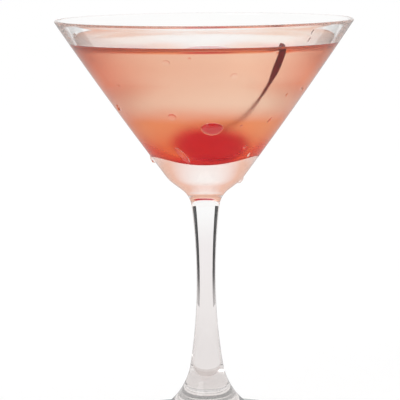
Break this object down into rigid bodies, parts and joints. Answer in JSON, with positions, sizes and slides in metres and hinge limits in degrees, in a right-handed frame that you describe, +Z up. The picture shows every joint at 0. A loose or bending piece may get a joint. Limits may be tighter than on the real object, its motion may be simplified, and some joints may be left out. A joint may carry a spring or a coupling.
{
  "type": "vodka fizz",
  "caption": "Stemmed cocktail glass with a wide conical bowl, filled with a cloudy peach drink over an orange layer, with a red cherry sunk in it and its stalk leaning out.",
  "frame": {"origin": "centre of the circle that the foot rests on, at the lowest point", "axes": "+Z up along the glass's axis; the cherry's stalk leans towards +X and -Y"},
  "size_m": [0.114, 0.114, 0.1565],
  "materials": {
    "clear_glass": "clear, smooth and glossy",
    "peach_drink": "cloudy liquid, paler towards its middle, with a wet surface",
    "orange_drink": "clearer orange liquid",
    "cherry_flesh": "wet, glossy cherry skin",
    "cherry_stalk": "brownish red stalk, damp"
  },
  "bodies": {
    "root": {"glass": "clear_glass", "drink_upper": "peach_drink", "drink_lower": "orange_drink", "cherry": "cherry_flesh", "cherry_stem": "cherry_stalk"}
  },
  "joints": []
}
